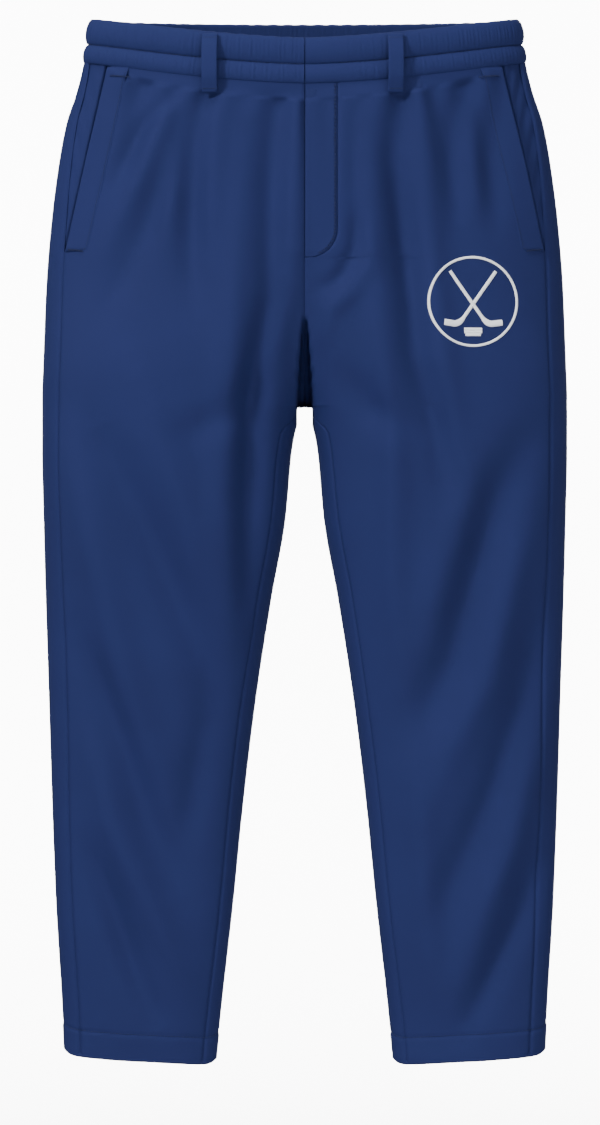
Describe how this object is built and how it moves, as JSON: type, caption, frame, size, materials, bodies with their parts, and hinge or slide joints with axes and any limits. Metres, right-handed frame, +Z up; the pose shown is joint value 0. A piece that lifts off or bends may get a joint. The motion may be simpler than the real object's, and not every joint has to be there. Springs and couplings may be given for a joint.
{
  "type": "team trousers",
  "caption": "Tapered knit team trousers with an elastic waistband, belt loops, a zip fly, slanted front pockets and a round thigh emblem.",
  "frame": {"origin": "centre of the waist opening, level with the top edge of the waistband at the back", "axes": "+Z up, out of the waist opening; -Y is the wearer's front; +X is the wearer's left; the hems are at z = -1.0"},
  "size_m": [0.504, 0.1344, 1],
  "materials": {
    "cloth": "dense navy-blue knit, faintly twilled, matt with a soft sheen",
    "band_cloth": "the same knit, gathered over elastic, a little lighter",
    "lining": "smooth navy lining cloth",
    "elastic_web": "woven elastic webbing, hidden in the casing",
    "zip_textile": "navy zip tape and nylon coil",
    "zip_metal": "navy enamelled zinc",
    "snap_metal": "nickel plated press stud",
    "emblem_thread": "off-white satin-stitch embroidery",
    "tack_thread": "dense navy bartack thread"
  },
  "bodies": {
    "garment": {"back_panel_left": "cloth", "back_panel_right": "cloth", "bartacks": "tack_thread", "belt_loop_back_left": "band_cloth", "belt_loop_back_middle": "band_cloth", "belt_loop_back_right": "band_cloth", "belt_loop_front_left": "band_cloth", "belt_loop_front_right": "band_cloth", "emblem_motif": "emblem_thread", "emblem_ring": "emblem_thread", "fly_shield": "lining", "front_panel_left": "cloth", "front_panel_right": "cloth", "hem_left": "cloth", "hem_right": "cloth", "pocket_bag_left": "lining", "pocket_bag_right": "lining", "pocket_facing_left": "cloth", "pocket_facing_right": "cloth", "pocket_welt_left": "cloth", "pocket_welt_right": "cloth", "snap_post": "snap_metal", "snap_stud": "snap_metal", "waistband_back": "band_cloth", "waistband_elastic_back": "elastic_web", "waistband_elastic_left": "elastic_web", "waistband_elastic_right": "elastic_web", "waistband_front_left": "band_cloth", "waistband_front_right": "band_cloth", "waistband_underlap": "lining", "zip_bottom_stop": "zip_metal", "zip_coil_left": "zip_textile", "zip_coil_right": "zip_textile", "zip_tape_left": "zip_textile", "zip_tape_right": "zip_textile", "zip_top_stops": "zip_metal"},
    "fly_flap": {"fly_flap": "cloth", "fly_facing": "cloth", "waistband_tab": "band_cloth", "snap_socket": "snap_metal"},
    "zip_slider": {"zip_slider": "zip_metal"},
    "zip_pull": {"zip_pull": "zip_metal"}
  },
  "joints": [
    {"name": "fly_flap_hinge", "type": "hinge", "parent": "garment", "child": "fly_flap", "pos_m": [0.031, -0.0526, -0.0415], "axis": [0, 0.0441, 0.999], "range_deg": [0, 150]},
    {"name": "zip_slider_travel", "type": "slide", "parent": "garment", "child": "zip_slider", "axis": [0, -0.0441, -0.999], "range_m": [0, 0.12]},
    {"name": "zip_pull_hinge", "type": "hinge", "parent": "zip_slider", "child": "zip_pull", "pos_m": [0.014, -0.04749, -0.07998], "axis": [-1, 0, 0], "range_deg": [0, 90]}
  ],
  "couplings": [
    {"joint": "zip_pull_hinge", "follows": "fly_flap_hinge", "ratio": 0.6}
  ]
}
